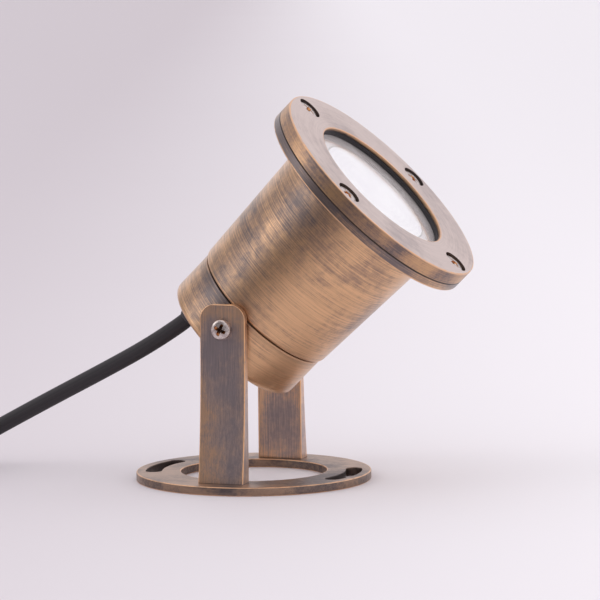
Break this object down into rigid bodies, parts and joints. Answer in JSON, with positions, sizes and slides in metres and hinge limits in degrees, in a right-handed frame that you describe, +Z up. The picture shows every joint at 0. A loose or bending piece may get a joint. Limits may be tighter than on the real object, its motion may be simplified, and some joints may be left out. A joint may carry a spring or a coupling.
{
  "type": "garden spotlight",
  "caption": "Adjustable surface-mounted spotlight in aged brass: a tapered round head that tilts between two flat legs on a slotted ring base, with a black supply lead.",
  "frame": {"origin": "centre of the base ring's underside, on the surface that the light stands on", "axes": "+Z up out of the mounting surface, +X the way the light aims, +Y along the tilt axis"},
  "size_m": [0.298, 0.14, 0.1547],
  "materials": {
    "aged_brass": "aged, brushed round the axis",
    "dark_brass": "darkened, brushed lengthways, worn bright at the edges",
    "face_brass": "satin, pale",
    "screw_steel": "satin",
    "lens_glass": "clear, polished",
    "black_rubber": "matte",
    "lamp_metal": "satin",
    "lamp_white": "opal diffuser",
    "plate_white": "matte",
    "white_plastic": "matte",
    "joint_metal": "tinned",
    "core_black": "satin",
    "cable_black": "satin",
    "tie_black": "satin",
    "bare_copper": "bare stranded copper"
  },
  "bodies": {
    "base": {"base_ring": "aged_brass", "near_leg": "dark_brass", "far_leg": "dark_brass", "leg_screws": "screw_steel", "cable": "cable_black", "cable_coil": "cable_black", "cable_tie": "tie_black", "end_cores": "core_black", "end_copper": "bare_copper"},
    "head": {"pivot_screws": "screw_steel", "pivot_washers": "aged_brass", "rear_cap": "aged_brass", "barrel": "aged_brass", "face_ring": "face_brass", "face_screws": "screw_steel", "lens_glass": "lens_glass", "lens_gasket": "black_rubber", "lamp_housing": "lamp_metal", "lamp_lens": "lamp_white", "lamp_plate": "plate_white", "lamp_pins": "lamp_metal", "lamp_holder": "white_plastic", "holder_leads": "core_black", "wire_joints": "joint_metal", "cable_cores": "core_black", "gland_body": "aged_brass", "gland_nut": "aged_brass", "gland_seal": "black_rubber", "cable_inlet": "cable_black"}
  },
  "joints": [
    {"name": "head_tilt", "type": "hinge", "parent": "base", "child": "head", "pos_m": [0, 0, 0.0645], "axis": [0, -1, 0], "range_deg": [-55, 45], "deforming": ["cable"]}
  ]
}
